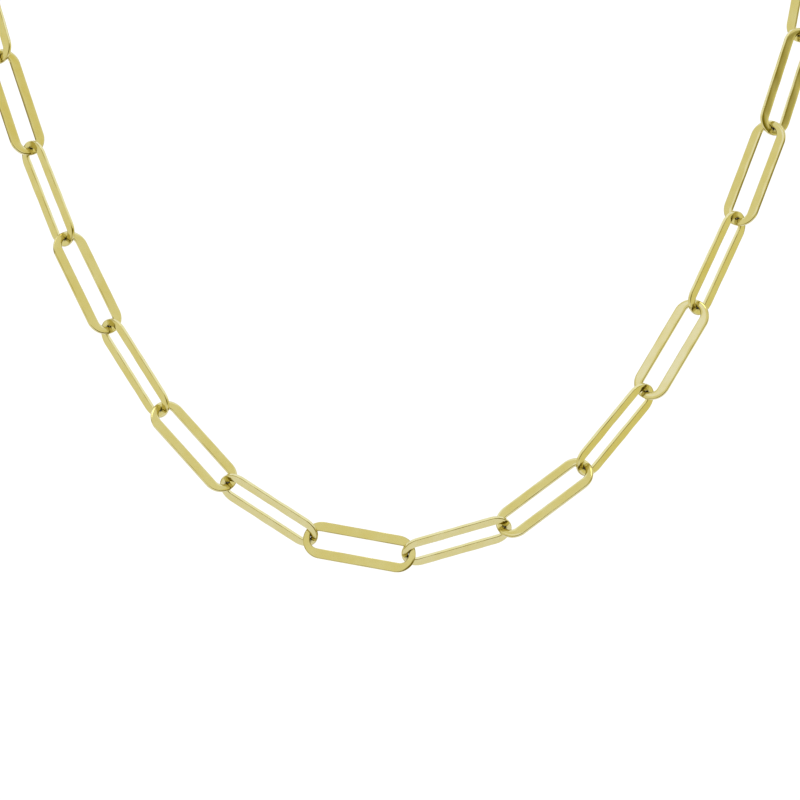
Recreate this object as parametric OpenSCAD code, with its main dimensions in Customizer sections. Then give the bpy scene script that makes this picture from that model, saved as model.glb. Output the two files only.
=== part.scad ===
// Paperclip chain necklace: flat-wire links that hang in a U down the chest and close behind the neck.
// +X is to the right as seen from the front, +Y points to the back of the neck and +Z is up.
// The origin is the centre of the neck's hollow, at the height of the clasp.

/* [Links] */
// Outside length of a link
link_length = 17.94; // [17.4:0.02:18.4]
// Outside width of a link
link_width = 5.86; // [5.6:0.02:6.4]
// Width of the flattened wire along a link's two bars
bar_width = 1.54; // [1.45:0.01:1.6]
// Width of the wire at a link's two ends, where the next link bears on it
end_width = 1.05; // [1:0.01:1.1]
// Thickness of the flattened wire
wire_thickness = 0.6; // [0.55:0.01:0.64]
// Bevel along the wire's edges
edge_bevel = 0.13; // [0.1:0.01:0.15]
// Space between the bearing faces of two links
link_play = 0.2; // [0.18:0.01:0.26]
// Links on each side of the middle joint
links_per_side = 14; // [14:1:15]

/* [Hang] */
// Radius of the curve at its lowest point
hang_radius = 33.5; // [31:0.5:36]
// How far the middle joint has slid to the right of the lowest point
slip = 1.75; // [0:0.05:3]
// Length of chain from the lowest point to where it leaves the chest
front_arc = 116; // [110:1:120]
// Length of chain that bends from the chest over the shoulder
shoulder_arc = 70; // [65:1:80]
// Angle at which the front leans back from upright
chest_lean = 20; // [15:1:25]
// Angle at which the stretch behind the neck leans back from upright
nape_lean = 82; // [75:1:88]

/* [Roll] */
// Roll of every other link, whose flat face turns in towards the neck
open_roll = 26; // [20:1:32]
// Roll of the links between them, whose flat face turns away from the neck
closed_roll = -54; // [-60:1:-48]
// Turn of the chain's outer side from the chest to the back of the neck
neck_turn = 60; // [45:1:70]

/* [Clasp] */
// Width of the hole in a jump ring
ring_bore = 3.6; // [3.5:0.1:4]
// Wire of a jump ring
ring_wire = 0.9; // [0.8:0.05:1]
// Length of the clasp between the faces that bear on its two rings
clasp_reach = 12.5; // [12:0.1:14]
// Outside width of the clasp's loop
clasp_width = 5.4; // [5:0.1:6]
// Wire of the clasp's loop
clasp_wire = 1.3; // [1.1:0.05:1.4]
// Width of the hole in the clasp's eye
eye_bore = 1.9; // [1.8:0.1:2.2]
// Wire of the clasp's eye
eye_wire = 0.8; // [0.7:0.05:0.9]

/* [Hidden] */
$fn = 48;
X = 0;
Y = 1;
Z = 2;
metal = [0.83, 0.79, 0.5];

link_count = 2 * links_per_side;
link_pitch = link_length - 2 * end_width - link_play;
bar_length = link_length - link_width;
crossing = link_pitch - bar_length;
ring_pitch = ring_bore - link_play;
clasp_pitch = clasp_reach - link_play;
closing_span = clasp_pitch + 2 * ring_pitch;
half_loop = links_per_side * link_pitch + closing_span / 2;
front_rise = atan(front_arc / hang_radius);

// Links whose roll differs from the pattern
LINK = 0;
ROLL = 1;
rolls = [
    [7, -41],
    [14, 2],
    [18, 20],
    [21, -39]
];

// Rolls of the two jump rings, so that each stands across the pieces it joins
left_ring_roll = 65;
right_ring_roll = -70;

function link_name(i) = str("link_", i < 9 ? "0" : "", i + 1);

function ease(t) = let (u = min(max(t, 0), 1)) u * u * (3 - 2 * u);
function unit(v) = v / norm(v);

// How far the chain has gone over the shoulder, from 0 on the chest to 1 behind the neck
function over_shoulder(s) = ease((abs(s) - front_arc) / shoulder_arc);
function lean(s) = chest_lean + (nape_lean - chest_lean) * over_shoulder(s);

// Slope of the chain in its own leaning plane, s along it from the lowest point: a hanging
// chain's slope on the chest, then a bend that ends level behind the neck
function rise(s, bend) = s <= front_arc
    ? atan(s / hang_radius)
    : front_rise + (180 - front_rise) * pow((s - front_arc) / (half_loop - front_arc), bend);

// Direction of the chain, and the face that it turns away from the body
function along(s, bend) =
    let (slope = rise(abs(s), bend), side = s < 0 ? -1 : 1)
    [cos(slope), side * sin(slope) * sin(lean(s)), side * sin(slope) * cos(lean(s))];
function outward(s, bend) =
    let (face = [0, -cos(lean(s)), sin(lean(s))], turn = neck_turn * over_shoulder(s))
    face * cos(turn) - cross(face, along(s, bend)) * sin(turn);

// Where a link's middle and a joint lie along the chain, counted from the left end
function joint_s(i) = slip + (i - links_per_side) * link_pitch;
function link_s(i) = joint_s(i + 0.5);
function listed_roll(i) = [for (row = rolls) if (row[LINK] == i + 1) row[ROLL]];
function link_roll(i) = len(listed_roll(i)) > 0 ? listed_roll(i)[0] : i % 2 == 1 ? open_roll : closed_roll;

// Direction that a link's flat face looks in, and the way from the middle of its half ring to a
// joint: the chain's direction there, laid into the link's own plane
function rolled(outer, way, roll) = outer * cos(roll) + cross(outer, way) * sin(roll);
function flat_face(i, bend) = rolled(outward(link_s(i), bend), along(link_s(i), bend), link_roll(i));
function in_plane(v, face) = unit(v - face * (v * face));
function end_reach(i, s, bend) = crossing / 2 * in_plane(along(s, bend), flat_face(i, bend));
function link_step(i, bend) = end_reach(i, joint_s(i), bend)
    + bar_length * along(link_s(i), bend)
    + end_reach(i, joint_s(i + 1), bend);

// Joints of the two sides, from the middle joint to the end of the chain
function right_joints(bend) = [
    for (i = links_per_side, p = [slip, 0, 0]; i <= link_count; p = p + link_step(i, bend), i = i + 1) p
];
function left_joints(bend) = [
    for (i = links_per_side, p = [slip, 0, 0]; i >= 0; p = p - link_step(i - 1, bend), i = i - 1) p
];

// The bend behind the neck that leaves just the clasp's room between the two ends
function end_gap(bend) = right_joints(bend)[links_per_side][X] - left_joints(bend)[links_per_side][X];
function solve_bend(low, high, steps) =
    let (mid = (low + high) / 2)
    steps == 0 ? mid
    : end_gap(mid) > closing_span ? solve_bend(low, mid, steps - 1)
    : solve_bend(mid, high, steps - 1);
lowest_bend = 0.3;
highest_bend = 2.5;
halvings = 30;
bend = solve_bend(lowest_bend, highest_bend, halvings);

left_side = left_joints(bend);
right_side = right_joints(bend);
left_end = left_side[links_per_side];
right_end = right_side[links_per_side];
clasp_middle = (left_end + right_end) / 2;
neck_centre = [0, clasp_middle[Y] / 2, clasp_middle[Z]];
closing_way = unit(left_end - right_end);
closing_face = unit(cross(closing_way, cross(outward(half_loop, bend), closing_way)));

// Place of a joint and of a link's middle
function joint(i) = i < links_per_side ? left_side[links_per_side - i] : right_side[i - links_per_side];
function link_middle(i) = joint(i) + end_reach(i, joint_s(i), bend) + bar_length / 2 * along(link_s(i), bend);

// Puts a piece at a place, its length along one direction and its flat face in another
module placed(place, way, flat) {
    across = cross(flat, way);
    at = place - neck_centre;
    multmatrix([
        [way[X], across[X], flat[X], at[X]],
        [way[Y], across[Y], flat[Y], at[Y]],
        [way[Z], across[Z], flat[Z], at[Z]],
        [0, 0, 0, 1]
    ])
        children();
}

// A long solid with round ends, from the half of its section that lies at x above zero
module round_ended(straight) {
    for (side = [-1, 1]) {
        mirror([0, side < 0 ? 1 : 0, 0])
            rotate([90, 0, 90])
                linear_extrude(straight, center = true)
                    children();
        translate([side * straight / 2, 0, 0])
            rotate([0, 0, -90 * side])
                rotate_extrude(angle = 180)
                    children();
    }
}

// Half sections of a link's outer shape, its edges bevelled inwards, and of the hole in it, its
// edges bevelled outwards and past the faces
module outer_half_section() {
    edge = link_width / 2;
    face = wire_thickness / 2;
    polygon([
        [0, -face], [edge - edge_bevel, -face], [edge, edge_bevel - face],
        [edge, face - edge_bevel], [edge - edge_bevel, face], [0, face]
    ]);
}

module hole_half_section() {
    edge = link_width / 2 - bar_width;
    face = wire_thickness / 2;
    past = 0.2;
    polygon([
        [0, -face - past], [edge + edge_bevel + past, -face - past], [edge, edge_bevel - face],
        [edge, face - edge_bevel], [edge + edge_bevel + past, face + past], [0, face + past]
    ]);
}

module chain_link(i) {
    hole_straight = link_length - 2 * end_width - (link_width - 2 * bar_width);
    color(metal)
        placed(link_middle(i), along(link_s(i), bend), flat_face(i, bend))
            difference() {
                round_ended(bar_length) outer_half_section();
                round_ended(hole_straight) hole_half_section();
            }
}

// A long loop of round wire in the XY plane: two straight bars and two half rings
module long_loop(straight, bend_radius, wire) {
    for (side = [-1, 1]) {
        translate([0, side * bend_radius, 0])
            rotate([0, 90, 0])
                cylinder(d = wire, h = straight, center = true);
        translate([side * straight / 2, 0, 0])
            rotate([0, 0, -90 * side])
                rotate_extrude(angle = 180)
                    translate([bend_radius, 0])
                        circle(d = wire);
    }
}

module jump_ring(place, roll) {
    color(metal)
        placed(place, closing_way, rolled(closing_face, closing_way, roll))
            rotate_extrude()
                translate([(ring_bore + ring_wire) / 2, 0])
                    circle(d = ring_wire);
}

module ring_left() {
    jump_ring(left_end - closing_way * ring_pitch / 2, left_ring_roll);
}

module ring_right() {
    jump_ring(right_end + closing_way * ring_pitch / 2, right_ring_roll);
}

// A short barrel along the clasp's length
module barrel(radius, length) {
    rotate([0, 90, 0])
        cylinder(r = radius, h = length, center = true);
}

// One plain piece in the form of a lobster clasp: eye, collar, closed loop with its two sleeves,
// and thumb piece
module clasp() {
    eye_middle = (clasp_reach - eye_bore) / 2;
    collar_middle = eye_middle - eye_bore / 2 - eye_wire;
    collar_length = 1.6;
    collar_radius = 0.95;
    loop_end = collar_middle - collar_length / 4;
    loop_tip = -clasp_reach / 2 - clasp_wire;
    loop_middle = (loop_end + loop_tip) / 2;
    straight = loop_end - loop_tip - clasp_width;
    bar_place = (clasp_width - clasp_wire) / 2;
    sleeve_radius = clasp_wire / 2 + 0.15;
    sleeve_length = 1.5;
    thumb_width = 1.1;
    color(metal)
        placed(clasp_middle, closing_way, closing_face) {
            translate([eye_middle, 0, 0])
                rotate_extrude()
                    translate([(eye_bore + eye_wire) / 2, 0])
                        circle(d = eye_wire);
            translate([collar_middle, 0, 0])
                barrel(collar_radius, collar_length);
            translate([loop_middle, 0, 0])
                long_loop(straight, bar_place, clasp_wire);
            for (side = [-1, 1])
                translate([loop_middle + side * straight / 2, bar_place, 0])
                    barrel(sleeve_radius, sleeve_length);
            translate([loop_middle + straight / 2 - thumb_width / 4, bar_place + sleeve_radius, 0])
                sphere(d = thumb_width);
        }
}

for (i = [0 : link_count - 1])
    chain_link(i);
ring_left();
ring_right();
clasp();
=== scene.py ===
"""Paperclip chain necklace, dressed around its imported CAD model.

Every link is a smooth flat wire built where its CAD link lies, and the jump rings and the clasp are
finer pieces in the places of theirs. Metres, +X to the right, +Y to the back of the neck, +Z up.
"""

import math

import bmesh
import bpy
import numpy as np
from mathutils import Matrix, Vector
from mathutils.bvhtree import BVHTree


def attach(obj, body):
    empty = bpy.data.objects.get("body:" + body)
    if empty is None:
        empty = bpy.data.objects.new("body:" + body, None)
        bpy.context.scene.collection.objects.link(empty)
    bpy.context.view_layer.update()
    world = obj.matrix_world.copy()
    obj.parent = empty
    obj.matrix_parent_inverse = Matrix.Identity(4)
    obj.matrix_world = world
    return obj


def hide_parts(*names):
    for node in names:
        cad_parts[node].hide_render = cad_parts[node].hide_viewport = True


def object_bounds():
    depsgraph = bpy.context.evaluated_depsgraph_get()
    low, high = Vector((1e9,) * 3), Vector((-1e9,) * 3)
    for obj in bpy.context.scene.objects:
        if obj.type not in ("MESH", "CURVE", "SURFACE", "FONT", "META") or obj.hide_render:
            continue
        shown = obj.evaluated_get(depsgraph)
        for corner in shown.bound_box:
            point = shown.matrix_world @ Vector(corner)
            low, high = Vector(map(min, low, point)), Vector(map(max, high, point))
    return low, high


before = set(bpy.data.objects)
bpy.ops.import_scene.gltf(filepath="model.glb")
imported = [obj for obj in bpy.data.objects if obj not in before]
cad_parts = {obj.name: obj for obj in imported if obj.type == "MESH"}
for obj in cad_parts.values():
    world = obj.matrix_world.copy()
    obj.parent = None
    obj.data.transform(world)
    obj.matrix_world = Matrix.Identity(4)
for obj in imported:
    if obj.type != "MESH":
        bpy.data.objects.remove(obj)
CAD_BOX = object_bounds()

MM = 0.001

# Flattened wire of the links: its width on the bars and, at least, at the ends, the space left where
# two links meet, its rounded edges and how uneven they are along the bars, and the swell of its faces
# on the bars and at the ends
BAR_WIDTH = 1.54 * MM
END_WIDTH = 1.1 * MM
SPARE = 0.004 * MM
EDGE_RADIUS = 0.09 * MM
EDGE_UNEVEN = 0.03 * MM
END_EDGE_RADIUS = 0.2 * MM
CROWN = 0.015 * MM
END_CROWN = 0.05 * MM
# Slope to which the bars' faces are twisted, the waves of all unevenness along a bar, and how far
# they shift from link to link
TWIST = 0.025
UNEVEN_TURNS = 0.8, 2.3
UNEVEN_SHIFT = 2.4

# Points of the mesh: round a half ring, along a bar, round one edge and across a flat side
RING_STEPS = 40
BAR_STEPS = 24
EDGE_STEPS = 6
FLAT_STEPS = 6

# Jump rings, in millimetres: their middle radius and wire, and the closed cut in each, as turns in
# degrees from its middle and how deep it is there
RING_RADIUS = 2.25
RING_WIRE = 0.45
RING_CUT = (-2, 0), (-1.3, 0), (-0.4, 0.08), (0.4, 0.08), (1.3, 0), (2, 0)

# Clasp, in millimetres from its middle: where it ends towards its eye and beside its closed bar; its
# loop with a slimmer gate between two sleeves; the eye, the collar, the gate's rivet and thumb piece
CLASP_END = 7.05
CLASP_SIDE = -2.7
LOOP_MIDDLE = -2.2
LOOP_STRAIGHT = 5.3
LOOP_RADIUS = 2.05
LOOP_WIRE = 0.65
GATE_WIRE = 0.53
EYE_MIDDLE = 5.3
EYE_RADIUS = 1.35
EYE_WIRE = 0.4
SLEEVE = ((-0.75, 0), (-0.75, 0.68), (-0.71, 0.76), (-0.63, 0.8),
          (0.63, 0.8), (0.71, 0.76), (0.75, 0.68), (0.75, 0))
COLLAR_MIDDLE = 3.55
COLLAR = ((-0.8, 0), (-0.8, 0.82), (-0.75, 0.91), (-0.65, 0.95), (-0.52, 0.94), (-0.38, 0.82),
          (0.38, 0.82), (0.52, 0.94), (0.65, 0.95), (0.75, 0.91), (0.8, 0.82), (0.8, 0))
RIVET_RADIUS = 0.42
RIVET_HEIGHT = 0.92
THUMB_MIDDLE = 0.15, 2.88
THUMB_SIZE = 0.56, 0.52, 0.46
# Cells in which these parts melt into one cast piece, and how often it is smoothed
CLASP_CELL = 0.06
CLASP_SMOOTHING = 6
# Corners round a wire, degrees between its places in a bend, and its places along a straight
WIRE_SIDES = 32
BEND_STEP = 5
STRAIGHT_STEPS = 12

# The photograph's frame, the scale of the lowest link in it, and the camera
PICTURE_PX = 800
MM_PER_PX = 0.157
LENS_DISTANCE_PX = 6000
CAMERA_ELEVATION = 12
SENSOR_MM = 36
CLIP = 0.01, 100
# The chain's lowest joint and how far above it the camera aims
LOWEST_JOINT = Vector((0.00175, -0.04174, -0.12183))
AIM_LEFT_PX = 8.5
AIM_UP_PX = 153.5

FLOOR_DROP = 0.5
FLOOR_SIZE = 1.4
FLOOR_COLOUR = 0.91, 0.9, 0.92
FLOOR_ROUGHNESS = 0.9

# Gold, the painted dark reflection along the edges, the painted near-black shade in crevices, and how
# much each channel of the gold is dimmed in the dull and in the bright patches
GOLD = 0.61, 0.54, 0.205
PAINTED_EDGE_REFLECTION = 0.3, 0.23, 0.04
PAINTED_CREVICE_SHADE = 0.008, 0.004, 0.001
PATCH_SHADES = (0.97, 0.94, 0.8), (1.02, 1.03, 1.12)
# Scale, detail and roughness of the patches, where their shades begin, and how they change the gloss
PATCHES = 260, 3, 0.7
PATCH_ENDS = 0.3, 0.7
ROUGHNESS = 0.1
ROUGHNESS_CHANGE = 0.8, 1.2
# Scale of the breaks in the painted dark reflection along the edges; how far around a point the painted
# crevice shade looks for other surfaces, and the rays that look for them; for both, the range of values
# that is mapped, and what it is mapped to
EDGE_REFLECTION_BREAKS = 330
EDGE_REFLECTION_STRENGTH = 0.4, 0.6, 0, 0.85
CREVICE_SHADE_REACH = 0.8 * MM
CREVICE_SHADE_SAMPLES = 8
CREVICE_SHADE_STRENGTH = 0.34, 0.62, 1, 0
# Polished ripple: its scale, strength and depth
RIPPLE = 700
RIPPLE_STRENGTH = 0.12
RIPPLE_DEPTH = 0.02 * MM

# White studio, its brighter part above and behind the chain, and how far back and up that begins
STUDIO_FRONT = 1.06, 1.06, 1.04
STUDIO_BACK = 1.31, 1.4, 2.05
BACK_CHANGE = -0.22, -0.08
HEIGHT_CHANGE = 0, 0.3
# Dark room low behind the camera: its colours, direction, how flat it is, and how far from its
# middle the colours and the studio begin
ROOM = 0.13, 0.1, 0.01
ROOM_RIM = 0.32, 0.27, 0.03
ROOM_MIDDLE = 25, -8
ROOM_FLATNESS = 2.2
ROOM_CHANGE = 0.3, 0.75
ROOM_EDGE = 0.8, 1.04
BACKDROP = 1.08, 1.08, 1.08
# Smaller parts of the surroundings, warm on the right and dark low behind: the colour and direction
# of each, and where from its middle it fades out
PARTS = (
    ((1.01, 0.985, 0.71), (95, -28), (0.4, 0.8)),
    ((0.98, 0.92, 0.58), (57, 27), (0.14, 0.27)),
    ((0.4, 0.35, 0.1), (123, -15), (0.08, 0.26)),
    ((0.32, 0.26, 0.1), (-125, -10), (0.08, 0.22)),
)
# Soft lights, all as far away: the direction, size, power and colour of each
LIGHT_DISTANCE = 1.2
LIGHTS = (
    ("window", (-42, 44), 0.3, 0.255, (0.2, 0.26, 1)),
    ("sparkle", (5, 66), 0.36, 0.74, (1, 1, 1)),
)


def link_names():
    return sorted(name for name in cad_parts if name.startswith("link_"))


def surface_sums(mesh):
    """Area-weighted middle of a mesh and the spread of its face normals."""
    area = np.array([p.area for p in mesh.polygons])
    centre = np.array([p.center for p in mesh.polygons])
    normal = np.array([p.normal for p in mesh.polygons])
    middle = (centre * area[:, None]).sum(0) / area.sum()
    spread = (normal * area[:, None]).T @ normal
    return middle, spread


def node_frame(node):
    """Middle of a CAD node, its length, width and flat directions, and its points along them."""
    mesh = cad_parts[node].data
    middle, spread = surface_sums(mesh)
    along, across, _ = np.linalg.eigh(spread)[1].T
    flip = np.sign(along[0]) or 1
    axes = np.array([flip * along, across, flip * np.cross(along, across)])
    points = np.array([v.co for v in mesh.vertices]) - middle
    return middle, axes, points @ axes.T


def outlines(length, width, ends):
    """Matching points of a link's outer outline and of its hole, each with its outward direction,
    and how far round the bend they are: 0 on a bar, 1 at the link's end."""
    radii = width / 2, width / 2 - BAR_WIDTH
    turns = [-90 + 180 * step / RING_STEPS for step in range(RING_STEPS)]
    centres = {side: (side * (length / 2 - radii[0]), side * (length / 2 - ends[side > 0] - radii[1]))
               for side in (1, -1)}
    points = []
    for side in (1, -1):
        for turn in map(math.radians, turns):
            out = side * math.cos(turn), side * math.sin(turn)
            points.append([(centre + radius * out[0], radius * out[1], out, math.cos(turn))
                           for centre, radius in zip(centres[side], radii)])
        for step in range(BAR_STEPS):
            points.append([(centre + (after - centre) * step / BAR_STEPS, side * radius, (0, side), 0)
                           for centre, after, radius in zip(centres[side], centres[-side], radii)])
    return points


def wire_section(thickness, radius, crown):
    """Section of the wire, point by point: how far it is from the outer outline to the hole's, how
    far in from them, how high, and how much of an edge it is."""
    half = thickness / 2
    turns = [math.radians(90 * step / EDGE_STEPS) for step in range(EDGE_STEPS + 1)]
    edge = [(radius * (1 - math.cos(t)), half - radius * (1 - math.sin(t)), math.sin(2 * t))
            for t in turns]
    shares = [step / FLAT_STEPS for step in range(1, FLAT_STEPS)]
    flat = [(share, radius * (1 - 2 * min(share, 1 - share)),
             half + crown * (1 - (2 * share - 1) ** 4), 0) for share in shares]
    upper = [(0, *point) for point in edge] + flat + [(1, *point) for point in reversed(edge)]
    return upper + [(share, d, -v, worn) for share, d, v, worn in reversed(upper)]


def uneven(x, side, half, phase):
    """Smooth unevenness from -1 to 1 along a bar, other from bar to bar."""
    along = math.pi * x / half
    slow, fast = UNEVEN_TURNS
    return math.sin(slow * along + phase + side) * math.cos(fast * along + 2 * phase)


def link_shape(link, ends, phase):
    """Points of one link, in place, how much of an edge each is, and the faces between them; the
    ends are its widths at its start and end."""
    middle, (along, across, flat), corners = link
    length, width, thickness = np.ptp(corners, axis=0)
    half = (length - width) / 2
    bar_middle = (width - BAR_WIDTH) / 2
    points, edges, faces = [], [], []
    for (ox, oy, out, bend), (hx, hy, _, _) in outlines(length, width, ends):
        side = math.copysign(1, oy)
        on_bar = max(0, 1 - (ox / half) ** 2)
        change = on_bar * uneven(ox, side, half, phase)
        radius = EDGE_RADIUS + (END_EDGE_RADIUS - EDGE_RADIUS) * bend + EDGE_UNEVEN * change
        crown = CROWN + (END_CROWN - CROWN) * bend
        section = wire_section(thickness - 2 * CROWN, radius, crown)
        for share, inset, height, edge in section:
            # the hole's edge is inset towards the outer outline, the outer edge towards the hole
            way = (2 * share - 1) * inset
            x = (1 - share) * ox + share * hx + way * out[0]
            y = (1 - share) * oy + share * hy + way * out[1]
            z = height + TWIST * change * (y - side * bar_middle)
            points.append(tuple(middle + x * along + y * across + z * flat))
            edges.append(edge)
    rows, columns = len(points) // len(section), len(section)
    for r in range(rows):
        this, after = r * columns, (r + 1) % rows * columns
        for c in range(columns):
            step = (c + 1) % columns
            faces.append((this + c, this + step, after + step, after + c))
    return points, edges, faces


def node_tree(material):
    material.use_nodes = True
    tree = material.node_tree
    tree.nodes.clear()
    return tree


def noise(tree, scale, detail=2, roughness=0.5):
    """Noise in the object's own space."""
    node = tree.nodes.new("ShaderNodeTexNoise")
    for socket, value in zip(("Scale", "Detail", "Roughness"), (scale, detail, roughness)):
        node.inputs[socket].default_value = value
    place = tree.nodes.new("ShaderNodeTexCoord")
    tree.links.new(place.outputs["Object"], node.inputs["Vector"])
    return node.outputs["Fac"]


def mapped(tree, value, limits):
    """Value mapped from the first two limits to the last two."""
    node = tree.nodes.new("ShaderNodeMapRange")
    for socket, limit in zip(("From Min", "From Max", "To Min", "To Max"), limits):
        node.inputs[socket].default_value = limit
    tree.links.new(value, node.inputs["Value"])
    return node.outputs["Result"]


def mixed(tree, amount, first, second):
    """Colour that goes from the first to the second; each is a colour or a socket."""
    mix = tree.nodes.new("ShaderNodeMix")
    mix.data_type = "RGBA"
    tree.links.new(amount, mix.inputs["Factor"])
    for socket, colour in ((mix.inputs[6], first), (mix.inputs[7], second)):
        if isinstance(colour, tuple):
            socket.default_value = *colour, 1
        else:
            tree.links.new(colour, socket)
    return mix.outputs[2]


def product(tree, first, second):
    node = tree.nodes.new("ShaderNodeMath")
    node.operation = "MULTIPLY"
    for socket, value in zip(node.inputs, (first, second)):
        tree.links.new(value, socket)
    return node.outputs["Value"]


def polished_gold(name):
    """Pale polished gold: small uneven patches of colour and gloss, a painted dark reflection as broken
    olive lines along the edges, painted near-black shade in the crevices where two pieces meet, and a
    faint hand-polished ripple."""
    material = bpy.data.materials.new(name)
    tree = node_tree(material)
    nodes, links = tree.nodes, tree.links
    shader = nodes.new("ShaderNodeBsdfPrincipled")
    shader.inputs["Metallic"].default_value = 1
    links.new(shader.outputs["BSDF"], nodes.new("ShaderNodeOutputMaterial").inputs["Surface"])

    patches = noise(tree, *PATCHES)
    tint = nodes.new("ShaderNodeValToRGB")
    for element, position, shade in zip(tint.color_ramp.elements, PATCH_ENDS, PATCH_SHADES):
        element.position = position
        element.color = *[c * k for c, k in zip(GOLD, shade)], 1
    links.new(patches, tint.inputs["Fac"])
    edge = nodes.new("ShaderNodeAttribute")
    edge.attribute_name = "edge"
    # painted dark reflection: points near the edges go towards olive, broken up along them by noise
    painted_edge_reflection = product(tree, edge.outputs["Fac"], mapped(tree, noise(tree, EDGE_REFLECTION_BREAKS), EDGE_REFLECTION_STRENGTH))
    # painted shade: where other surfaces are near, the colour goes towards near black
    hidden = nodes.new("ShaderNodeAmbientOcclusion")
    hidden.samples = CREVICE_SHADE_SAMPLES
    hidden.inputs["Distance"].default_value = CREVICE_SHADE_REACH
    painted_crevice_shade = mapped(tree, hidden.outputs["AO"], CREVICE_SHADE_STRENGTH)
    shades = mixed(tree, painted_crevice_shade, mixed(tree, painted_edge_reflection, tint.outputs["Color"], PAINTED_EDGE_REFLECTION), PAINTED_CREVICE_SHADE)
    links.new(shades, shader.inputs["Base Color"])

    roughness = mapped(tree, patches, (0, 1, *(ROUGHNESS * k for k in ROUGHNESS_CHANGE)))
    links.new(roughness, shader.inputs["Roughness"])
    bump = nodes.new("ShaderNodeBump")
    bump.inputs["Strength"].default_value = RIPPLE_STRENGTH
    bump.inputs["Distance"].default_value = RIPPLE_DEPTH
    links.new(noise(tree, RIPPLE), bump.inputs["Height"])
    links.new(bump.outputs["Normal"], shader.inputs["Normal"])
    return material


def add_piece(mesh, node, material):
    """Shows a mesh in the place of a CAD node."""
    mesh.polygons.foreach_set("use_smooth", [True] * len(mesh.polygons))
    mesh.materials.append(material)
    piece = bpy.data.objects.new(mesh.name, mesh)
    bpy.context.scene.collection.objects.link(piece)
    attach(piece, "root")
    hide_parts(node)


def end_widths(links, shapes):
    """Widths of each link at its start and end, at which it almost touches the next."""
    widths = [[END_WIDTH, END_WIDTH] for _ in links]
    trees = [BVHTree.FromPolygons(points, faces) for points, _, faces in shapes]
    for first in range(len(links) - 1):
        pair = (first, first + 1), (first + 1, first)
        space = min(trees[this].find_nearest(point)[3]
                    for this, other in pair for point in shapes[other][0])
        for this, other in pair:
            ahead = (links[other][0] - links[this][0]) @ links[this][1][0] > 0
            widths[this][int(ahead)] += (space - SPARE) / 2
    return widths


def build_links(material):
    names = link_names()
    links = [node_frame(name) for name in names]
    phases = [UNEVEN_SHIFT * int(name[-2:]) for name in names]
    shapes = [link_shape(link, (END_WIDTH, END_WIDTH), phase) for link, phase in zip(links, phases)]
    for name, link, ends, phase in zip(names, links, end_widths(links, shapes), phases):
        points, edges, faces = link_shape(link, ends, phase)
        mesh = bpy.data.meshes.new("polished_" + name)
        mesh.from_pydata(points, [], faces)
        mesh.attributes.new("edge", "FLOAT", "POINT").data.foreach_set("value", edges)
        add_piece(mesh, name, material)


def wire_turns():
    return [2 * math.pi * side / WIRE_SIDES for side in range(WIRE_SIDES)]


def join_rings(bm, rings):
    """Faces between rings of points, from each to the next."""
    for this, after in zip(rings, rings[1:]):
        for i in range(WIRE_SIDES):
            j = (i + 1) % WIRE_SIDES
            bm.faces.new((this[i], after[i], after[j], this[j]))


def add_loop(bm, path):
    """Closed loop of round wire; each row of its path is a place, its outward direction and the
    radius of the wire."""
    rings = []
    for x, y, out, wire in path:
        places = [(wire * math.cos(t), wire * math.sin(t)) for t in wire_turns()]
        rings.append([bm.verts.new((x + far * out[0], y + far * out[1], up)) for far, up in places])
    join_rings(bm, rings + rings[:1])


def add_barrel(bm, x, y, profile):
    """Closed solid turned about a line along the clasp; each row of its profile is a place on that
    line and a radius."""
    rings = [[bm.verts.new((x + place, y + r * math.cos(t), r * math.sin(t))) for t in wire_turns()]
             for place, r in profile[1:-1]]
    join_rings(bm, rings)
    bm.faces.new(rings[0])
    bm.faces.new(rings[-1][::-1])


def add_ball(bm, middle, size):
    place = Matrix.Translation(middle) @ Matrix.Diagonal((*size, 1))
    bmesh.ops.create_uvsphere(bm, u_segments=WIRE_SIDES, v_segments=WIRE_SIDES // 2, radius=1,
                              matrix=place)


def circle(x, radius, wire, start=((0, 0),)):
    """Path of a ring; a row of its start is a turn in degrees and how much thinner the wire is."""
    for degrees, depth in (*start, *((degrees, 0) for degrees in range(BEND_STEP, 360, BEND_STEP))):
        turn = math.radians(degrees)
        out = math.cos(turn), math.sin(turn)
        yield x + radius * out[0], radius * out[1], out, wire - depth


def clasp_path():
    """Path of the clasp's loop: a bend and the gate, then the other bend and the closed bar."""
    half = LOOP_STRAIGHT / 2
    for side in (1, -1):
        for degrees in range(-90, 90, BEND_STEP):
            turn = math.radians(degrees)
            out = side * math.cos(turn), side * math.sin(turn)
            yield LOOP_MIDDLE + side * half + LOOP_RADIUS * out[0], LOOP_RADIUS * out[1], out, LOOP_WIRE
        for step in range(STRAIGHT_STEPS):
            wire = GATE_WIRE if side > 0 and step > 0 else LOOP_WIRE
            place = LOOP_MIDDLE + side * half * (1 - 2 * step / STRAIGHT_STEPS)
            yield place, side * LOOP_RADIUS, (0, side), wire


def melted(bm):
    """The closed parts in bm as one smooth piece."""
    mesh = bpy.data.meshes.new("parts")
    bm.to_mesh(mesh)
    parts = bpy.data.objects.new("parts", mesh)
    bpy.context.scene.collection.objects.link(parts)
    melt = parts.modifiers.new("melt", "REMESH")
    melt.mode = "VOXEL"
    melt.voxel_size = CLASP_CELL
    smooth = parts.modifiers.new("smooth", "SMOOTH")
    smooth.iterations = CLASP_SMOOTHING
    whole = bmesh.new()
    whole.from_object(parts, bpy.context.evaluated_depsgraph_get())
    bpy.data.objects.remove(parts)
    return whole


def placed(name, bm, middle, axes):
    """Mesh of a piece made in millimetres, its points in their places in the scene."""
    turn = Matrix([list(axis) for axis in axes]).transposed().to_4x4()
    bm.transform(Matrix.Translation(middle) @ turn @ Matrix.Scale(MM, 4))
    bmesh.ops.recalc_face_normals(bm, faces=bm.faces)
    mesh = bpy.data.meshes.new(name)
    bm.to_mesh(mesh)
    bm.free()
    return mesh


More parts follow.
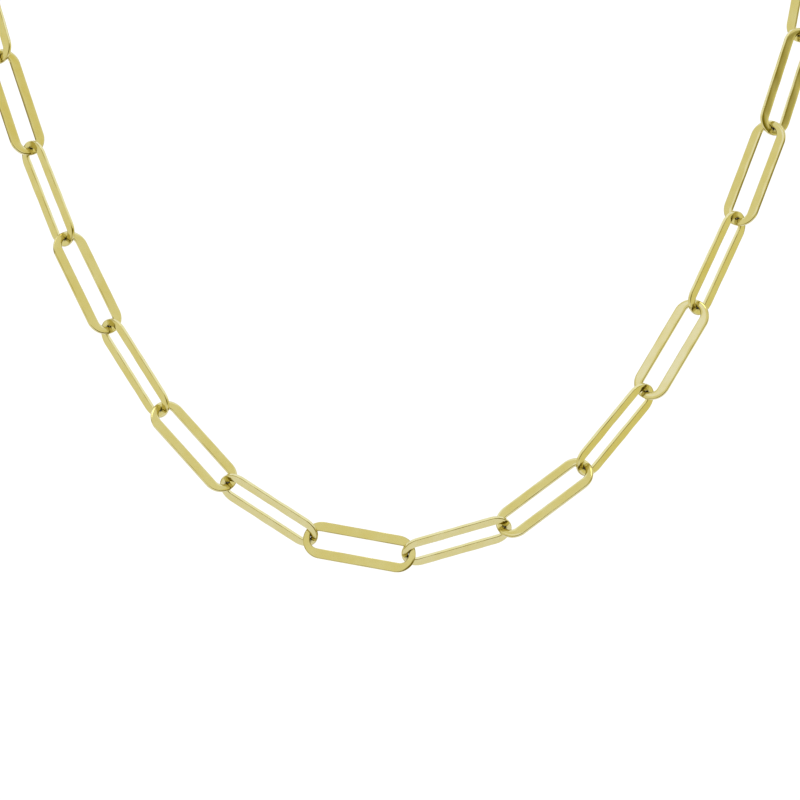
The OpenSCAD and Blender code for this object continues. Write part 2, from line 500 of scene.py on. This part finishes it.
def clasp_frame():
    """Middle and axes of the CAD clasp: towards its eye, which is on the left, towards its thumb
    piece, and flat."""
    middle, axes, points = node_frame("clasp")
    for i, flip in enumerate((axes[0][0] > 0, points[:, 1].max() < -points[:, 1].min())):
        if flip:
            axes[i] *= -1
            points[:, i] *= -1
    away = points[:, 0].max() - CLASP_END * MM, points[:, 1].min() - CLASP_SIDE * MM
    flat = (points[:, 2].max() + points[:, 2].min()) / 2
    return middle + away[0] * axes[0] + away[1] * axes[1] + flat * axes[2], axes


def build_fittings(material):
    clasp_middle, clasp_axes = clasp_frame()
    bm = bmesh.new()
    add_loop(bm, clasp_path())
    add_loop(bm, circle(EYE_MIDDLE, EYE_RADIUS, EYE_WIRE))
    add_barrel(bm, COLLAR_MIDDLE, 0, COLLAR)
    gate_ends = [LOOP_MIDDLE + side * LOOP_STRAIGHT / 2 for side in (1, -1)]
    for place in gate_ends:
        add_barrel(bm, place, LOOP_RADIUS, SLEEVE)
    add_ball(bm, (*THUMB_MIDDLE, 0), THUMB_SIZE)
    add_ball(bm, (gate_ends[0], LOOP_RADIUS, 0), (RIVET_RADIUS, RIVET_RADIUS, RIVET_HEIGHT))
    mesh = placed("polished_clasp", melted(bm), clasp_middle, clasp_axes)
    bm.free()
    add_piece(mesh, "clasp", material)
    for node in ("ring_left", "ring_right"):
        middle, axes, _ = node_frame(node)
        # the cut is beside the way to the clasp
        beside = np.cross(axes[2], clasp_middle - middle)
        beside /= np.linalg.norm(beside)
        ring = bmesh.new()
        add_loop(ring, circle(0, RING_RADIUS, RING_WIRE, RING_CUT))
        mesh = placed("polished_" + node, ring, middle, (beside, np.cross(axes[2], beside), axes[2]))
        add_piece(mesh, node, material)


def direction(azimuth, elevation):
    """Unit vector: azimuth 0 is towards the front, 90 to the right; elevation above the horizon."""
    turn, rise = math.radians(azimuth), math.radians(elevation)
    return Vector((math.sin(turn) * math.cos(rise), -math.cos(turn) * math.cos(rise), math.sin(rise)))


def add_camera():
    scale = MM_PER_PX * MM
    tilt = math.radians(CAMERA_ELEVATION)
    back = Vector((0, -math.cos(tilt), math.sin(tilt)))
    up = Vector((0, math.sin(tilt), math.cos(tilt)))
    aim = LOWEST_JOINT + Vector((-AIM_LEFT_PX * scale, 0, 0)) + up * AIM_UP_PX * scale
    data = bpy.data.cameras.new("camera")
    data.sensor_width = SENSOR_MM
    data.lens = SENSOR_MM * LENS_DISTANCE_PX / PICTURE_PX
    data.clip_start, data.clip_end = CLIP
    camera = bpy.data.objects.new("camera", data)
    camera.location = aim + back * LENS_DISTANCE_PX * scale
    camera.rotation_euler = (math.radians(90 - CAMERA_ELEVATION), 0, 0)
    bpy.context.scene.collection.objects.link(camera)
    bpy.context.scene.camera = camera


def add_floor():
    bpy.ops.mesh.primitive_plane_add(size=FLOOR_SIZE, location=(0, 0, CAD_BOX[0][2] - FLOOR_DROP))
    floor = bpy.context.object
    floor.name = "floor"
    material = bpy.data.materials.new("floor")
    tree = node_tree(material)
    shader = tree.nodes.new("ShaderNodeBsdfPrincipled")
    output = tree.nodes.new("ShaderNodeOutputMaterial")
    shader.inputs["Base Color"].default_value = *FLOOR_COLOUR, 1
    shader.inputs["Roughness"].default_value = FLOOR_ROUGHNESS
    tree.links.new(shader.outputs["BSDF"], output.inputs["Surface"])
    floor.data.materials.append(material)


def change(tree, value, limits):
    """Smooth change from 0 to 1 between two limits of a value."""
    node = tree.nodes.new("ShaderNodeMapRange")
    node.interpolation_type = "SMOOTHSTEP"
    node.inputs["From Min"].default_value, node.inputs["From Max"].default_value = limits
    tree.links.new(value, node.inputs["Value"])
    return node.outputs["Result"]


def away_from(tree, place, middle, flatness):
    """How far a direction is from another, more so upwards and downwards for more flatness."""
    flatten = tree.nodes.new("ShaderNodeVectorMath")
    flatten.operation = "MULTIPLY"
    flatten.inputs[1].default_value = 1, 1, flatness
    tree.links.new(place, flatten.inputs[0])
    away = tree.nodes.new("ShaderNodeVectorMath")
    away.operation = "DISTANCE"
    away.inputs[1].default_value = middle * Vector((1, 1, flatness))
    tree.links.new(flatten.outputs["Vector"], away.inputs[0])
    return away.outputs["Value"]


def add_world():
    """Plain white backdrop, and for light and reflections a studio that is brighter behind the
    chain, with smaller warm and dark parts and a warm dark room low behind the camera."""
    world = bpy.data.worlds.new("studio")
    bpy.context.scene.world = world
    world.use_nodes = True
    tree = world.node_tree
    nodes, links = tree.nodes, tree.links
    place = nodes.new("ShaderNodeTexCoord")
    xyz = nodes.new("ShaderNodeSeparateXYZ")
    links.new(place.outputs["Generated"], xyz.inputs["Vector"])
    far = away_from(tree, place.outputs["Generated"], direction(*ROOM_MIDDLE), ROOM_FLATNESS)
    room = mixed(tree, change(tree, far, ROOM_CHANGE), ROOM, ROOM_RIM)
    behind = product(tree, change(tree, xyz.outputs["Y"], BACK_CHANGE),
                     change(tree, xyz.outputs["Z"], HEIGHT_CHANGE))
    studio = mixed(tree, behind, STUDIO_FRONT, STUDIO_BACK)
    for colour, middle, edge in PARTS:
        aside = away_from(tree, place.outputs["Generated"], direction(*middle), 1)
        studio = mixed(tree, change(tree, aside, edge), colour, studio)
    around = mixed(tree, change(tree, far, ROOM_EDGE), room, studio)
    ray = nodes.new("ShaderNodeLightPath")
    seen = mixed(tree, ray.outputs["Is Camera Ray"], around, BACKDROP)
    links.new(seen, nodes["Background"].inputs["Color"])


def add_area(name, way, size, power, colour):
    place = direction(*way)
    data = bpy.data.lights.new(name, "AREA")
    data.color = colour
    data.size = size
    data.energy = power
    light = bpy.data.objects.new(name, data)
    light.location = place * LIGHT_DISTANCE
    light.rotation_euler = (-place).to_track_quat("-Z", "Y").to_euler()
    bpy.context.scene.collection.objects.link(light)


add_camera()
gold = polished_gold("pale_gold")
build_links(gold)
build_fittings(gold)
add_floor()
add_world()
for light in LIGHTS:
    add_area(*light)
bpy.context.scene.view_settings.view_transform = "Standard"
